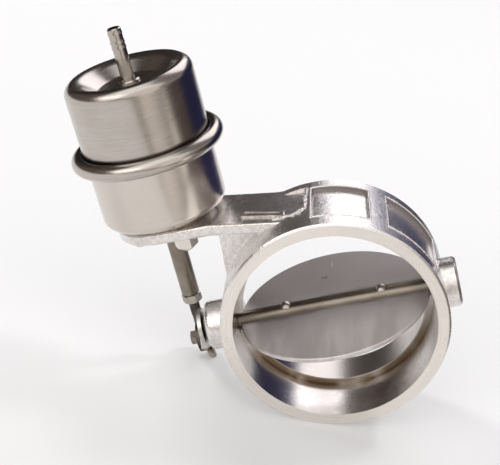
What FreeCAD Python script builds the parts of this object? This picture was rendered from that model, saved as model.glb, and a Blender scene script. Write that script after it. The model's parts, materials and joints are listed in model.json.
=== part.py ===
# Exhaust flap valve: a cast pipe ring with a flap on a cross shaft, a cast arm that carries
# a vacuum can, and a rod and lever that turn the flap. Sizes are millimetres.
# Frame: the origin is where the shaft's axis crosses the pipe's axis. +X runs along the shaft
# away from the lever, Y is the pipe's axis with the front face at -Y, and +Z is up the rod.
import FreeCAD, Part
import math
import os

V = FreeCAD.Vector
X_AXIS = V(1, 0, 0)
Y_AXIS = V(0, 1, 0)
Z_AXIS = V(0, 0, 1)
ORIGIN = V(0, 0, 0)

# Pipe ring
PIPE_OD = 76.0
SOCKET_CLEARANCE = 0.15
RING_WALL = 4.85
FRONT_FACE = -20.0
REAR_FACE = 21.0
LEDGE_HEIGHT = 2.85
LEDGE_GAP = 0.3
REAR_LEDGE_END = 14.5
FRONT_LEDGE_END = -3.5
LEDGE_CUT = 5.0
RING_EDGE = 0.8
POCKET_DEPTH = 1.6
POCKET_FRONT = -11.8
POCKET_REAR = 14.4
FIRST_POCKET = (-0.3, 29.3)
SECOND_POCKET = (38.7, 74.0)

# Shaft and its bosses
SHAFT_D = 6.6
SHAFT_CLEARANCE = 0.05
BUSH_WALL = 1.9
BUSH_LENGTH = 11.0
LEFT_BOSS_D = 19.2
LEFT_BOSS_REACH = 7.5
LEFT_BOSS_ROUND = 2.4
RIGHT_BOSS_D = 19.2
RIGHT_BOSS_REACH = 5.3
RIGHT_BOSS_CHAMFER = 1.0
BLIND_END_WALL = 2.5
SHAFT_END_GAP = 0.5
RIVET_SEAT_DEPTH = 0.7
SEAL_LENGTH = 2.2

# Flap
DISC_CLEARANCE = 1.15
DISC_THICKNESS = 1.8
DISC_OFFSET = 0.6
DISC_EDGE = 0.3
OPEN_ANGLE = 86.4
FLAP_RIVET_SPACING = 37.6
FLAP_RIVET_D = 3.0
FLAP_RIVET_HEAD_D = 4.8
FLAP_RIVET_HEAD_H = 1.8
FLAP_RIVET_TAIL_H = 1.0
RIVET_FIT = 0.02

# Lever
BOSS_TO_LEVER = 1.3
LEVER_THICKNESS = 1.5
LEVER_HUB_R = 7.4
LEVER_END_R = 6.0
JOG_START = 9.0
JOG_END = 17.0
TAB_R = 1.35
TAB_DEPTH = 4.0
TAB_START = 1.5
TAB_ROOT = 5.4
TAB_REACH = 7.8
TAB_LEAN = 0.9
PEEN_HEIGHT = 0.3
PEEN_OVERHANG = 0.6

# Rod and its place beside the shaft
CAN_BEYOND_BOSS = 7.9
ROD_Y = 21.0
PIVOT_Z = -15.6
EYE_R = 6.2
EYE_THICKNESS = 2.05
EYE_GAP = 0.2
FLAT_LENGTH = 10.4
ROD_THREAD_D = 3.9
THREAD_CLEARANCE = 0.05
THREAD_DEPTH = 10.8
M4_FLATS = 7.0
LOCK_NUT_H = 3.6
LOCK_NUT_ABOVE_PIVOT = 17.2
M3_D = 3.0
M3_FLATS = 5.5
M3_NUT_H = 2.4
M3_HEAD_H = 2.5
PIVOT_CLEARANCE = 0.08
PIVOT_WASHER_D = 6.4
PIVOT_WASHER_T = 0.55
SEAT_GAP = 0.05
ROD_D = 7.3
ROD_HEAD_D = 12.0
ROD_HEAD_H = 2.0
ROD_HEAD_PLAY = 1.7

# Cast arm under the can
ARM_BELOW_RING = 1.4
ARM_THICKNESS = 4.4
ARM_EDGE = 0.9
PAD_MARGIN = 5.6
PAD_SHIFT = 1.4
ARM_FRONT_BEND = (-40.5, 0.9)
ARM_FRONT_ROOT = (-12.8, -7.9)
ARM_REAR_ROOT = (-11.1, 20.2)
ARM_REAR_SLOPE = -0.344
ARM_REAR_FILLET = 6.0
ARM_FLAT_END = -2.5
WEB_FRONT = -1.5
WEB_THICKNESS = 6.0
WEB_INSET = 5.0
WEB_FOOT = 17.0
FLAT_FRONT = [(-14, -4.0), (-10.4, -4.0), (-6.5, -5.2), (-4.4, -4.5), (-3.0, -2.6), (ARM_FLAT_END, 2.0)]
FLAT_REAR = 16.3
BAR = [(-27.6, 8.6), (-27.2, 2.4), (-10.5, -4.2), (-10.5, 0.1)]
BAR_HEIGHT = 0.8
BAR_GROOVE = [(-26.0, 5.1), (-12.0, -1.2)]
BAR_GROOVE_WIDTH = 1.4
BAR_GROOVE_DEPTH = 0.5

# Slot for the rod, in the arm and in the can
SWING_FORWARD = 4.2
SWING_BACK = 5.3
SLOT_SIDE_GAP = 1.1

# Studs that hold the can
STUD_CIRCLE_D = 27.2
STUD_COUNT = 3
STUD_D = 5.0
STUD_HOLE_GAP = 0.3
STUD_TAIL = 1.6
M5_FLATS = 8.0
M5_NUT_H = 4.4
STUD_WASHER_D = 10.0
STUD_WASHER_T = 1.0

# Can
SHELL_T = 1.0
UPPER_T = 0.9
SEAT_HEIGHT = 2.2
SEAT_MARGIN = 4.6
SEAT_SLOPE = 1.8
LOWER_R = 24.65
LOWER_CORNER = 3.2
UPPER_STEP = 0.35
BEAD_R = 3.15
BEAD_PROUD = 5.45
BEAD_HEIGHT = 27.8
CAN_HEIGHT = 58.1
RIM_ROUND = 4.1
RIM_TURN = 35.0
DISH_DEPTH = 5.3
DISH_CORNER = 2.5
FLANGE_RISE = 1.2
FLANGE_INSET = 1.8
CURL_GAP = 0.1
CURL_CORNER = 1.2
PRESS_CORNER = 1.3

# Nipple
NIPPLE_D = 5.3
NIPPLE_NECK_D = 4.8
NIPPLE_BORE_D = 3.0
NIPPLE_RISE = 16.6
NIPPLE_TAIL = 1.0
BARB_PROUD = 0.2
BARB_LENGTH = 1.2
BARB_DROPS = (1.1, 4.6, 6.6)
COLLAR_D = 8.6
COLLAR_H = 1.8

# Diaphragm, piston and spring
RUBBER_T = 1.0
RUBBER_GAP = 0.4
RUBBER_EDGE_WIDTH = 2.3
PISTON_HEIGHT = 11.2
CUP_R = 16.0
CUP_T = 1.0
CUP_SKIRT = 7.0
RETAINER_INSET = 1.5
RETAINER_T = 1.0
RETAINER_RIM = 1.6
PISTON_RIVET_D = 4.0
PISTON_RIVET_HEAD_D = 8.0
PISTON_RIVET_HEAD_H = 1.0
ROLL_HEIGHT = 5.8
ROLL_CORNER = 1.2
SPRING_WIRE_D = 1.6
SPRING_TURNS = 5
SPRING_BOTTOM_R = 11.6
SPRING_TOP_R = 9.4
SPRING_STEPS = 10
SPRING_SEAT_T = 0.8
SPRING_SEAT_PLAY = 0.3
SPRING_SEAT_LIP = 1.8

# Sizes that follow from those above
BORE_R = PIPE_OD / 2 + SOCKET_CLEARANCE
RING_R = BORE_R + RING_WALL
LEDGE_R = BORE_R - LEDGE_HEIGHT
RING_LENGTH = REAR_FACE - FRONT_FACE
SHAFT_R = SHAFT_D / 2
BUSH_R = SHAFT_R + SHAFT_CLEARANCE
BUSH_OUTER_R = BUSH_R + BUSH_WALL
LEFT_END = -(RING_R + LEFT_BOSS_REACH)
RIGHT_END = RING_R + RIGHT_BOSS_REACH
BLIND_END = RIGHT_END - BLIND_END_WALL
DISC_R = BORE_R - DISC_CLEARANCE
DISC_FACE = -DISC_OFFSET
DISC_BACK = DISC_FACE + DISC_THICKNESS
HUB_INNER = LEFT_END - BOSS_TO_LEVER
HUB_OUTER = HUB_INNER - LEVER_THICKNESS
ROD_X = LEFT_END - CAN_BEYOND_BOSS
EYE_OUTER = ROD_X - ROD_THREAD_D / 2
EYE_INNER = EYE_OUTER + EYE_THICKNESS
ARM_OUTER = EYE_INNER + EYE_GAP
ARM_INNER = ARM_OUTER + LEVER_THICKNESS
PIVOT_R = M3_D / 2
ARM_TOP = RING_R - ARM_BELOW_RING
ARM_BOTTOM = ARM_TOP - ARM_THICKNESS
PAD_R = STUD_CIRCLE_D / 2 + PAD_MARGIN
PAD_X = ROD_X - PAD_SHIFT
SLOT_R = M4_FLATS / math.sqrt(3) + SLOT_SIDE_GAP
CAN_BOTTOM = ARM_TOP + SEAT_HEIGHT
CAN_TOP = CAN_BOTTOM + CAN_HEIGHT
SEAT_R = STUD_CIRCLE_D / 2 + SEAT_MARGIN
UPPER_R = LOWER_R + UPPER_STEP
BEAD_OUTER_R = LOWER_R + BEAD_PROUD
FLANGE_R = BEAD_OUTER_R - FLANGE_INSET
CURL_LIP_R = UPPER_R + CURL_GAP
BEAD_MIDDLE = CAN_BOTTOM + BEAD_HEIGHT
BEAD_BOTTOM = BEAD_MIDDLE - BEAD_R
BEAD_TOP = BEAD_MIDDLE + BEAD_R
FLANGE_TOP = BEAD_MIDDLE + FLANGE_RISE
RUBBER_EDGE_BOTTOM = BEAD_BOTTOM + SHELL_T
RUBBER_EDGE_TOP = FLANGE_TOP - UPPER_T
DISH_FLOOR = CAN_TOP - DISH_DEPTH
NIPPLE_TOP = CAN_TOP + NIPPLE_RISE
PISTON_TOP = CAN_BOTTOM + PISTON_HEIGHT
ROLL_BOTTOM = CAN_BOTTOM + ROLL_HEIGHT
RETAINER_R = CUP_R - RETAINER_INSET
LOCK_NUT_BOTTOM = PIVOT_Z + LOCK_NUT_ABOVE_PIVOT
LOCK_NUT_TOP = LOCK_NUT_BOTTOM + LOCK_NUT_H
THREAD_TOP = LOCK_NUT_TOP + THREAD_DEPTH
ROD_BOTTOM = LOCK_NUT_TOP + SEAT_GAP
CUP_UNDERSIDE = PISTON_TOP - CUP_T
ROD_TOP = CUP_UNDERSIDE - PISTON_RIVET_HEAD_H - ROD_HEAD_PLAY
RETAINER_BOTTOM = PISTON_TOP + RUBBER_T
RETAINER_TOP = RETAINER_BOTTOM + RETAINER_T
DISH_UNDERSIDE = DISH_FLOOR - UPPER_T


def cylinder(radius, start, end, axis):
    """A cylinder on the line through the origin along axis, from start to end."""
    return Part.makeCylinder(radius, end - start, axis * start, axis)


def tube(outer, inner, start, end, axis):
    return cylinder(outer, start, end, axis).cut(cylinder(inner, start, end, axis))


def box(low, high):
    size = V(*high) - V(*low)
    return Part.makeBox(size.x, size.y, size.z, V(*low))


def at_can(shape):
    """Move a shape from the Z axis to the can's axis."""
    return shape.translated(V(ROD_X, ROD_Y, 0))


def at_pivot(shape):
    """Move a shape from the X axis to the axis of the lever's pivot bolt."""
    return shape.translated(V(0, ROD_Y, PIVOT_Z))


def hexagon(flats, bottom, height):
    """A hexagonal prism about the Z axis with its upper and lower corners turned off."""
    corner = flats / math.sqrt(3)
    points = [V(corner, 0, bottom)]
    for step in range(1, 7):
        turn = math.radians(60 * step)
        points.append(V(corner * math.cos(turn), corner * math.sin(turn), bottom))
    prism = Part.Face(Part.makePolygon(points)).extrude(V(0, 0, height))
    slope = corner - flats / 2 + 0.15
    outline = [V(0, 0, bottom), V(flats / 2 - 0.15, 0, bottom), V(corner, 0, bottom + slope * 0.6)]
    outline.append(V(corner, 0, bottom + height - slope * 0.6))
    outline += [V(flats / 2 - 0.15, 0, bottom + height), V(0, 0, bottom + height), V(0, 0, bottom)]
    return prism.common(Part.Face(Part.makePolygon(outline)).revolve(ORIGIN, Z_AXIS, 360))


def along_x(shape):
    """Turn a shape about the Z axis so that it lies about the X axis, +Z to -X."""
    turned = shape.copy()
    turned.rotate(ORIGIN, Y_AXIS, -90)
    return turned


def corner_arc(before, corner, after, radius):
    """Start, middle and end of the arc that rounds a corner of a path in a plane."""
    back = (before - corner).normalize()
    forward = (after - corner).normalize()
    half = back.getAngle(forward) / 2
    reach = radius / math.tan(half)
    middle_way = (back + forward).normalize()
    centre = corner + middle_way * (radius / math.sin(half))
    return corner + back * reach, centre - middle_way * radius, corner + forward * reach


def path_edges(points):
    """Edges of a path through (r, z, corner radius) points, drawn in the XZ plane."""
    places = [V(r, 0, z) for r, z, radius in points]
    edges = []
    last = places[0]
    for index in range(1, len(points)):
        radius = points[index][2]
        inner = index < len(points) - 1
        if inner and radius > 0:
            start, middle, end = corner_arc(places[index - 1], places[index], places[index + 1], radius)
            if (start - last).Length > 1e-4:
                edges.append(Part.LineSegment(last, start).toShape())
            edges.append(Part.Arc(start, middle, end).toShape())
            last = end
        elif (places[index] - last).Length > 1e-4:
            edges.append(Part.LineSegment(last, places[index]).toShape())
            last = places[index]
    return edges


def offset_path(points, thickness):
    """The same path moved sideways, to the left of its direction, by the thickness."""
    places = [V(r, 0, z) for r, z, radius in points]
    moved = []
    for index, place in enumerate(places):
        radius = points[index][2]
        sides = []
        if index > 0:
            sides.append((place - places[index - 1]).normalize())
        if index < len(places) - 1:
            sides.append((places[index + 1] - place).normalize())
        lefts = [V(-way.z, 0, way.x) for way in sides]
        if len(lefts) == 1:
            moved.append((place + lefts[0] * thickness, 0))
            continue
        normal = (lefts[0] + lefts[1]).normalize()
        shift = thickness / normal.dot(lefts[0])
        turns_left = sides[0].x * sides[1].z - sides[0].z * sides[1].x > 0
        inner_radius = radius - thickness if turns_left else radius + thickness
        moved.append((place + normal * shift, max(inner_radius, 0) if radius > 0 else 0))
    return [(place.x, place.z, radius) for place, radius in moved]


def pressed_shell(points, thickness):
    """A sheet-metal shell: a path and its offset, turned about the Z axis."""
    outside = path_edges(points)
    inside = path_edges(list(reversed(offset_path(points, thickness))))
    first = outside[0].valueAt(outside[0].FirstParameter)
    edges = outside + [Part.LineSegment(outside[-1].valueAt(outside[-1].LastParameter),
                                        inside[0].valueAt(inside[0].FirstParameter)).toShape()]
    edges += inside
    edges.append(Part.LineSegment(inside[-1].valueAt(inside[-1].LastParameter), first).toShape())
    face = Part.Face(Part.Wire(Part.__sortEdges__(edges)))
    return face.revolve(ORIGIN, Z_AXIS, 360)


def turned(points):
    """A solid turned about the Z axis from a closed outline of (r, z, corner radius) points."""
    outline = Part.Wire(path_edges(list(points) + [points[0]]))
    return Part.Face(outline).revolve(ORIGIN, Z_AXIS, 360)


def ring_sector(outer, inner, start, end, first_angle, last_angle):
    """Part of a ring about the Y axis; angles run from +Z towards +X, in degrees."""
    ring = tube(outer, inner, start, end, Y_AXIS)
    reach = outer * 2
    points = [ORIGIN + Y_AXIS * start]
    steps = max(2, int(abs(last_angle - first_angle) / 30) + 1)
    for step in range(steps + 1):
        turn = math.radians(first_angle + (last_angle - first_angle) * step / steps)
        points.append(V(reach * math.sin(turn), start, reach * math.cos(turn)))
    points.append(points[0])
    wedge = Part.Face(Part.makePolygon(points)).extrude(V(0, end - start, 0))
    return ring.common(wedge)


def rod_slot(bottom, top):
    """The long hole that gives the rod room to swing, at the can's axis."""
    front = V(0, -SWING_FORWARD, bottom)
    back = V(0, SWING_BACK, bottom)
    depth = top - bottom
    middle = box((-SLOT_R, -SWING_FORWARD, bottom), (SLOT_R, SWING_BACK, top))
    ends = Part.makeCylinder(SLOT_R, depth, front).fuse(Part.makeCylinder(SLOT_R, depth, back))
    return at_can(middle.fuse(ends))


def stud_places():
    """Centres of the studs round the can's axis; the first one points away from the ring."""
    places = []
    for number in range(STUD_COUNT):
        turn = math.radians(180 + number * 360 / STUD_COUNT)
        places.append(V(STUD_CIRCLE_D / 2 * math.cos(turn), STUD_CIRCLE_D / 2 * math.sin(turn), 0))
    return places


def at_studs(shape):
    return Part.makeCompound([at_can(shape.translated(place)) for place in stud_places()])


def flat_prism(points, bottom, top):
    """A prism on a plan of (x, y) points."""
    corners = [V(x, y, bottom) for x, y in points]
    return Part.Face(Part.makePolygon(corners + [corners[0]])).extrude(V(0, 0, top - bottom))


def arm_outline():
    """The arm's plan: a round pad, a straight front edge, and a rear edge that flows into the pad."""
    pad = V(PAD_X, ROD_Y, ARM_BOTTOM)
    rear_root = V(*ARM_REAR_ROOT, ARM_BOTTOM)
    along = V(-1, -ARM_REAR_SLOPE, 0).normalize()
    outward = V(along.y, -along.x, 0)
    depth = (pad - rear_root).dot(outward)
    rise = ARM_REAR_FILLET - depth
    shift = math.sqrt((PAD_R + ARM_REAR_FILLET) ** 2 - rise ** 2)
    centre = pad + outward * rise - along * shift
    pad_touch = pad + (centre - pad).normalize() * PAD_R
    rear_touch = centre - outward * ARM_REAR_FILLET
    middle_way = ((pad_touch - centre) + (rear_touch - centre)).normalize()
    far_side = pad + V(-PAD_R, 0, 0)
    front_touch = pad + V(0, -PAD_R, 0)
    edges = [Part.LineSegment(rear_root, rear_touch).toShape()]
    edges.append(Part.Arc(rear_touch, centre + middle_way * ARM_REAR_FILLET, pad_touch).toShape())
    edges.append(Part.Arc(pad_touch, far_side, front_touch).toShape())
    corners = [front_touch, V(*ARM_FRONT_BEND, ARM_BOTTOM), V(*ARM_FRONT_ROOT, ARM_BOTTOM)]
    corners.append(V(ARM_FLAT_END, ARM_FRONT_ROOT[1], ARM_BOTTOM))
    corners += [V(ARM_FLAT_END, ARM_REAR_ROOT[1], ARM_BOTTOM), rear_root]
    for start, end in zip(corners, corners[1:]):
        edges.append(Part.LineSegment(start, end).toShape())
    return Part.Wire(edges)


def arm_bar():
    """The raised bar on the arm's root, with a groove along it."""
    bar = flat_prism(BAR, ARM_TOP - 1, ARM_TOP + BAR_HEIGHT)
    start = V(*BAR_GROOVE[0], 0)
    end = V(*BAR_GROOVE[1], 0)
    side = Z_AXIS.cross(end - start).normalize() * (BAR_GROOVE_WIDTH / 2)
    plan = [(p.x, p.y) for p in (start + side, start - side, end - side, end + side)]
    top = ARM_TOP + BAR_HEIGHT
    return bar.cut(flat_prism(plan, top - BAR_GROOVE_DEPTH, top + 1))


def arm():
    plate = Part.Face(arm_outline()).extrude(V(0, 0, ARM_THICKNESS))
    outer_edges = []
    for edge in plate.Edges:
        level = abs(edge.BoundBox.ZMax - edge.BoundBox.ZMin) < 1e-6
        if level and edge.BoundBox.XMin < ARM_FRONT_ROOT[0] - 1:
            outer_edges.append(edge)
    plate = plate.makeFillet(ARM_EDGE, outer_edges)
    reach = RING_R - WEB_INSET
    foot = math.sqrt(RING_R ** 2 - WEB_FOOT ** 2) - 2
    corners = [V(-reach + 1.5, WEB_FRONT, ARM_BOTTOM + 1), V(-reach, WEB_FRONT, WEB_FOOT)]
    corners += [V(-foot, WEB_FRONT, WEB_FOOT), V(-8, WEB_FRONT, ARM_BOTTOM + 1)]
    web = Part.Face(Part.makePolygon(corners + [corners[0]])).extrude(V(0, WEB_THICKNESS, 0))
    return plate.fuse(web).fuse(arm_bar())


def left_boss():
    boss = cylinder(LEFT_BOSS_D / 2, LEFT_END, -BORE_R + LEDGE_HEIGHT, X_AXIS)
    rim = [e for e in boss.Edges if e.BoundBox.XMax < LEFT_END + 0.1]
    return boss.makeFillet(LEFT_BOSS_ROUND, rim)


def right_boss():
    boss = cylinder(RIGHT_BOSS_D / 2, BORE_R - LEDGE_HEIGHT, RIGHT_END, X_AXIS)
    rim = [e for e in boss.Edges if e.BoundBox.XMin > RIGHT_END - 0.1]
    return boss.makeChamfer(RIGHT_BOSS_CHAMFER, rim)


def ledges():
    """The two half ledges that the closed flap rests on: low behind it, high in front."""
    wall = BORE_R + RING_WALL / 4
    rear = tube(wall, LEDGE_R, DISC_BACK + LEDGE_GAP, REAR_LEDGE_END, Y_AXIS)
    front = tube(wall, LEDGE_R, FRONT_LEDGE_END, DISC_FACE - LEDGE_GAP, Y_AXIS)
    below = box((-RING_R, FRONT_FACE, -RING_R), (RING_R, REAR_FACE, -LEDGE_CUT))
    above = box((-RING_R, FRONT_FACE, LEDGE_CUT), (RING_R, REAR_FACE, RING_R))
    return rear.common(below), front.common(above)


def valve_body():
    ring = cylinder(RING_R, FRONT_FACE, REAR_FACE, Y_AXIS)
    ring = ring.makeChamfer(RING_EDGE, [e for e in ring.Edges if e.BoundBox.XLength > RING_R])
    for first, last in (FIRST_POCKET, SECOND_POCKET):
        ring = ring.cut(ring_sector(RING_R + 1, RING_R - POCKET_DEPTH, POCKET_FRONT, POCKET_REAR, first, last))
    plan = FLAT_FRONT + [(ARM_FLAT_END, FLAT_REAR), (FLAT_FRONT[0][0], FLAT_REAR)]
    flat = flat_prism(plan, ARM_TOP, RING_R + 1)
    body = ring.cut(flat).fuse(arm()).fuse(left_boss()).fuse(right_boss())
    body = body.cut(cylinder(BORE_R, FRONT_FACE - 1, REAR_FACE + 1, Y_AXIS))
    body = body.cut(box((-BORE_R, REAR_FACE, -RING_R), (BORE_R, REAR_FACE + RING_R, ARM_BOTTOM)))
    for ledge in ledges():
        body = body.fuse(ledge)
    body = body.cut(cylinder(BUSH_OUTER_R, LEFT_END - 1, 0, X_AXIS))
    body = body.cut(cylinder(BUSH_OUTER_R, 0, BLIND_END, X_AXIS))
    body = body.cut(rod_slot(ARM_BOTTOM - 1, ARM_TOP + 1))
    hole = Part.makeCylinder(STUD_D / 2 + STUD_HOLE_GAP, ARM_THICKNESS + 2, V(0, 0, ARM_BOTTOM - 1))
    body = body.cut(at_studs(hole))
    return body.removeSplitter()


def left_bush():
    start = LEFT_END + SEAL_LENGTH
    return tube(BUSH_OUTER_R, BUSH_R, start, start + BUSH_LENGTH - SEAL_LENGTH, X_AXIS)


def shaft_seal():
    return tube(BUSH_OUTER_R, BUSH_R, LEFT_END + 0.2, LEFT_END + SEAL_LENGTH, X_AXIS)


def right_bush():
    return tube(BUSH_OUTER_R, BUSH_R, BORE_R, BLIND_END, X_AXIS)


def spring_washer():
    """A thin dished washer that keeps the lever's hub from rattling on the boss."""
    inner = SHAFT_R + 0.2
    outer = BUSH_OUTER_R + 0.8
    low = HUB_INNER + SEAT_GAP
    high = LEFT_END - SEAT_GAP
    thick = 0.5
    points = [V(low, inner, 0), V(low + thick, inner, 0), V(high, outer, 0), V(high - thick, outer, 0)]
    return Part.Face(Part.makePolygon(points + [points[0]])).revolve(ORIGIN, X_AXIS, 360)


def opened(shape):
    """Turn a shape that was drawn with the flap closed to where it rests, open."""
    result = shape.copy()
    result.rotate(ORIGIN, X_AXIS, -OPEN_ANGLE)
    return result


def shaft():
    bar = cylinder(SHAFT_R, HUB_OUTER, BLIND_END - SHAFT_END_GAP, X_AXIS)
    head = cylinder(SHAFT_R + PEEN_OVERHANG, HUB_OUTER - PEEN_HEIGHT, HUB_OUTER, X_AXIS)
    seat_end = DISC_R + RIVET_FIT
    disc_seat = box((-seat_end, DISC_FACE, -SHAFT_D), (seat_end, SHAFT_D, SHAFT_D))
    bar = bar.fuse(head).cut(disc_seat)
    for place in rivet_places():
        bar = bar.cut(rivet_shank(place, FLAP_RIVET_D / 2 + RIVET_FIT))
        seat = Part.makeCylinder(FLAP_RIVET_HEAD_D / 2 + 0.1, SHAFT_R, V(place, -SHAFT_D, 0), Y_AXIS)
        bar = bar.cut(seat.translated(V(0, RIVET_SEAT_DEPTH, 0)))
    return opened(bar)


def rivet_places():
    return (-FLAP_RIVET_SPACING / 2, FLAP_RIVET_SPACING / 2)


def rivet_shank(place, radius):
    return Part.makeCylinder(radius, SHAFT_D + 2, V(place, -SHAFT_R, 0), Y_AXIS)


def flap_disc():
    disc = cylinder(DISC_R, DISC_FACE, DISC_BACK, Y_AXIS)
    disc = disc.makeChamfer(DISC_EDGE, [e for e in disc.Edges if e.BoundBox.XLength > DISC_R])
    for place in rivet_places():
        disc = disc.cut(rivet_shank(place, FLAP_RIVET_D / 2 + RIVET_FIT))
    return opened(disc)


def dome(base_radius, height):
    """A round rivet head standing on the XY plane."""
    ball = (base_radius ** 2 + height ** 2) / (2 * height)
    sphere = Part.makeSphere(ball, V(0, 0, height - ball))
    return sphere.common(Part.makeCylinder(ball * 2, ball * 2, ORIGIN))


def flap_rivets():
    rivets = []
    seat = -SHAFT_R + RIVET_SEAT_DEPTH
    for place in rivet_places():
        head = dome(FLAP_RIVET_HEAD_D / 2, FLAP_RIVET_HEAD_H)
        head.rotate(ORIGIN, X_AXIS, 90)
        head.translate(V(place, seat, 0))
        length = DISC_BACK + FLAP_RIVET_TAIL_H - seat
        shank = Part.makeCylinder(FLAP_RIVET_D / 2, length, V(place, seat, 0), Y_AXIS)
        tail = Part.makeCone(FLAP_RIVET_HEAD_D / 2, FLAP_RIVET_D / 2, FLAP_RIVET_TAIL_H,
                             V(place, DISC_BACK, 0), Y_AXIS)
        rivets.append(opened(head.fuse(shank).fuse(tail)))
    return Part.makeCompound(rivets)


def lever():
    """A pressed lever: a hub, an arm that jogs out to the rod, and a bent tab below its end."""
    reach = math.hypot(ROD_Y, PIVOT_Z)
    along = V(0, ROD_Y / reach, PIVOT_Z / reach)
    across = V(0, -along.z, along.y)
    jog = HUB_OUTER - ARM_OUTER
    start = ARM_OUTER - 2
    depth = HUB_INNER - start + 2
    blank = arm_blank(start, depth, reach, along, across)
    side = [(-LEVER_HUB_R - 4, 0), (JOG_START, 0), (JOG_END, -jog), (reach + LEVER_END_R + 4, -jog)]
    outer = [along * s + X_AXIS * (HUB_OUTER + shift) for s, shift in side]
    inner = [point + X_AXIS * LEVER_THICKNESS for point in reversed(outer)]
    strip_face = Part.Face(Part.makePolygon(outer + inner + [outer[0]]))
    wide = LEVER_HUB_R + 20
    strip_face.translate(across * -wide)
    strip = strip_face.extrude(across * (2 * wide))
    plate = blank.common(strip).fuse(stop_tab(reach, along, across))
    plate = plate.cut(cylinder(SHAFT_R + RIVET_FIT, start - 1, 0, X_AXIS))
    return plate.cut(at_pivot(cylinder(PIVOT_R + RIVET_FIT, start - 1, 0, X_AXIS)))


def arm_blank(start, depth, reach, along, across):
    """The lever's outline, as a prism along X."""
    hub = cylinder(LEVER_HUB_R, start, start + depth, X_AXIS)
    end = at_pivot(cylinder(LEVER_END_R, start, start + depth, X_AXIS))
    lean = (LEVER_HUB_R - LEVER_END_R) / reach
    rise = math.sqrt(1 - lean ** 2)
    corners = []
    for sign in (1, -1):
        normal = along * lean + across * (sign * rise)
        ends = [normal * LEVER_HUB_R, along * reach + normal * LEVER_END_R]
        corners += ends if sign > 0 else list(reversed(ends))
    corners = [point + X_AXIS * start for point in corners]
    bridge = Part.Face(Part.makePolygon(corners + [corners[0]])).extrude(X_AXIS * depth)
    return hub.fuse(end).fuse(bridge)


def stop_tab(reach, along, across):
    """The rounded tab that is bent inwards below the lever's end."""
    base = along * (reach + TAB_START)
    middle = (ARM_OUTER + ARM_INNER) / 2
    root = base + X_AXIS * (middle + 0.3) - across * TAB_ROOT
    tip = base + X_AXIS * (middle + TAB_LEAN) - across * TAB_REACH
    side = along.cross(tip - root).normalize() * TAB_R
    corners = [root + side, root - side, tip - side, tip + side]
    tab = Part.Face(Part.makePolygon(corners + [corners[0]])).extrude(along * TAB_DEPTH)
    for place in (root, tip):
        tab = tab.fuse(Part.makeCylinder(TAB_R, TAB_DEPTH, place, along))
    plate = base + X_AXIS * ARM_OUTER
    corners = [plate, plate + X_AXIS * LEVER_THICKNESS]
    corners += [corner - across * TAB_ROOT for corner in reversed(corners)]
    web = Part.Face(Part.makePolygon(corners + [corners[0]])).extrude(along * TAB_DEPTH)
    keep = box((ARM_OUTER, -3 * reach, -3 * reach), (0, 3 * reach, 3 * reach))
    return tab.fuse(web).common(keep)


def pivot_bolt():
    head_seat = EYE_OUTER - PIVOT_WASHER_T - SEAT_GAP
    head = along_x(hexagon(M3_FLATS, 0, M3_HEAD_H)).translated(V(head_seat, 0, 0))
    tip = ARM_INNER + M3_NUT_H + 0.4
    return at_pivot(head.fuse(cylinder(PIVOT_R, head_seat, tip, X_AXIS)))


def pivot_washer():
    start = EYE_OUTER - PIVOT_WASHER_T - SEAT_GAP
    return at_pivot(tube(PIVOT_WASHER_D / 2, PIVOT_R + PIVOT_CLEARANCE, start, start + PIVOT_WASHER_T, X_AXIS))


def pivot_nut():
    nut = along_x(hexagon(M3_FLATS, 0, M3_NUT_H)).translated(V(ARM_INNER + M3_NUT_H, 0, 0))
    return at_pivot(nut.cut(cylinder(PIVOT_R + RIVET_FIT, ARM_INNER - 1, ARM_INNER + M3_NUT_H + 1, X_AXIS)))


def rod_end():
    """A threaded shank whose lower end is flattened, on the lever's side, into an eye."""
    eye = at_pivot(cylinder(EYE_R, EYE_OUTER, EYE_INNER, X_AXIS))
    start = PIVOT_Z + PIVOT_R + 1
    shank = at_can(Part.makeCylinder(ROD_THREAD_D / 2, THREAD_TOP - start, V(0, 0, start)))
    flat = at_can(box((EYE_INNER - ROD_X, -EYE_R, start - 1), (EYE_R, EYE_R, PIVOT_Z + FLAT_LENGTH)))
    body = shank.cut(flat).fuse(eye)
    return body.cut(at_pivot(cylinder(PIVOT_R + PIVOT_CLEARANCE, EYE_OUTER - 1, EYE_INNER + 1, X_AXIS)))


def lock_nut():
    nut = hexagon(M4_FLATS, LOCK_NUT_BOTTOM, LOCK_NUT_H)
    bore = cylinder(ROD_THREAD_D / 2 + THREAD_CLEARANCE, LOCK_NUT_BOTTOM - 1, LOCK_NUT_TOP + 1, Z_AXIS)
    return at_can(nut.cut(bore))


def actuator_rod():
    bar = cylinder(ROD_D / 2, ROD_BOTTOM, ROD_TOP, Z_AXIS)
    bar = bar.makeChamfer(0.4, [e for e in bar.Edges if e.BoundBox.ZMax < ROD_BOTTOM + 0.1])
    head = cylinder(ROD_HEAD_D / 2, ROD_TOP - ROD_HEAD_H, ROD_TOP, Z_AXIS)
    thread = cylinder(ROD_THREAD_D / 2 + THREAD_CLEARANCE, ROD_BOTTOM - 1, THREAD_TOP + 2, Z_AXIS)
    return at_can(bar.fuse(head).cut(thread))


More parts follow.
